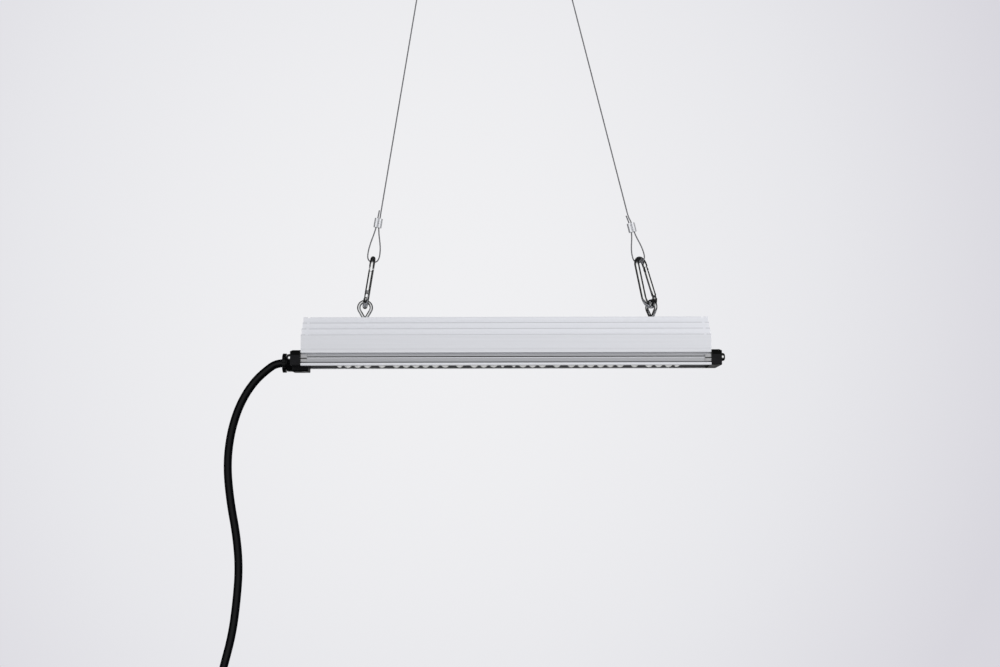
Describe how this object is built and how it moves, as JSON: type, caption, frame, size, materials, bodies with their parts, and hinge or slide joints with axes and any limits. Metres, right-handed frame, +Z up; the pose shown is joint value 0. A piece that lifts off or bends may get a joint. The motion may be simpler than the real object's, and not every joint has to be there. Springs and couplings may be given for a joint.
{
  "type": "led grow light bar",
  "caption": "Slim LED grow light bar with a finned heat sink, hung from ceiling hooks on wire ropes with snap hooks and eyebolts, with a mains cord.",
  "frame": {"origin": "on the ceiling, midway between the two screw hooks", "axes": "+X along the bar to the right, +Y away from the viewer, +Z up"},
  "size_m": [0.6833, 0.065, 1.2052],
  "materials": {
    "sink": "satin",
    "cap": "satin",
    "cap_right": "satin",
    "gland": "satin",
    "gasket": "matte",
    "cord": "satin",
    "plug": "satin",
    "blades": "polished",
    "chrome": "polished",
    "screws": "satin",
    "rope": "satin",
    "ferrule": "satin",
    "clip": "satin",
    "lens": "polished",
    "board": "satin",
    "chip": "satin",
    "parts": "satin",
    "terminal": "satin",
    "line": "satin",
    "neutral": "satin",
    "earth": "satin",
    "tie": "satin"
  },
  "bodies": {
    "ceiling_hooks": {"left_ceiling_hook": "chrome", "right_ceiling_hook": "chrome"},
    "rope_eyes": {"left_top_loop": "rope", "left_top_ferrule": "ferrule", "right_top_loop": "rope", "right_top_ferrule": "ferrule"},
    "left_hanger": {"left_rope": "rope", "left_lower_ferrule": "ferrule", "left_snap_hook": "chrome", "left_gate_pin": "screws"},
    "left_gate": {"left_gate": "chrome", "left_gate_spring": "screws"},
    "right_hanger": {"right_rope": "rope", "right_lower_ferrule": "ferrule", "right_snap_hook": "chrome", "right_gate_pin": "screws"},
    "right_gate": {"right_gate": "chrome", "right_gate_spring": "screws"},
    "eyebolts": {"left_eye_bolt": "chrome", "right_eye_bolt": "chrome", "slot_nuts": "screws", "eye_washers": "screws", "lock_nuts": "screws"},
    "light": {"heat_sink": "sink", "groove_clips": "clip", "end_gaskets": "gasket", "left_end_cap": "cap", "right_end_cap": "cap_right", "end_cap_screws": "screws", "cable_lid": "cap", "lid_screws": "screws", "gland_washer": "gasket", "gland_body": "gland", "gland_seal": "gasket", "gland_nut": "gland", "left_led_board": "board", "right_led_board": "board", "left_lens_seal": "gasket", "right_lens_seal": "gasket", "left_lens": "lens", "right_lens": "lens", "led_chips": "chip", "lens_screws": "screws", "current_regulators": "parts", "terminal_block": "terminal", "line_lead": "line", "neutral_lead": "neutral", "earth_lead": "earth", "board_links": "screws", "cord": "cord", "cord_coil": "cord", "coil_tie": "tie", "plug_body": "plug", "plug_blades": "blades", "plug_earth_pin": "blades"}
  },
  "joints": [
    {"name": "fore_aft_swing", "type": "hinge", "parent": "ceiling_hooks", "child": "rope_eyes", "pos_m": [0, 0, -0.034], "axis": [1, 0, 0], "range_deg": [-20, 20]},
    {"name": "left_rope_sway", "type": "hinge", "parent": "rope_eyes", "child": "left_hanger", "pos_m": [-0.09833, 0, -0.09294], "axis": [0, 1, 0], "range_deg": [-6, 6]},
    {"name": "right_rope_sway", "type": "hinge", "parent": "rope_eyes", "child": "right_hanger", "pos_m": [0.10302, 0, -0.09199], "axis": [0, 1, 0], "range_deg": [-6.5, 6.5]},
    {"name": "bar_tilt", "type": "hinge", "parent": "left_hanger", "child": "eyebolts", "pos_m": [-0.1683, 0, -0.5278], "axis": [0, 1, 0], "range_deg": [-4, 4]},
    {"name": "bar_slide", "type": "slide", "parent": "eyebolts", "child": "light", "axis": [1, 0, 0], "range_m": [-0.025, 0.025]},
    {"name": "left_gate_hinge", "type": "hinge", "parent": "left_hanger", "child": "left_gate", "pos_m": [-0.16495, -0.01223, -0.51375], "axis": [-0.9835, -0.0872, 0.1582], "range_deg": [0, 17], "stiffness_Nm_per_rad": 0.3, "springref_deg": -17.19},
    {"name": "right_gate_hinge", "type": "hinge", "parent": "right_hanger", "child": "right_gate", "pos_m": [0.21375, 0.00941, -0.51193], "axis": [0.7442, -0.6428, 0.1818], "range_deg": [0, 17], "stiffness_Nm_per_rad": 0.3, "springref_deg": -17.19}
  ],
  "couplings": [
    {"joint": "right_rope_sway", "follows": "left_rope_sway", "ratio": 1},
    {"joint": "bar_tilt", "follows": "left_rope_sway", "ratio": -0.5336}
  ]
}
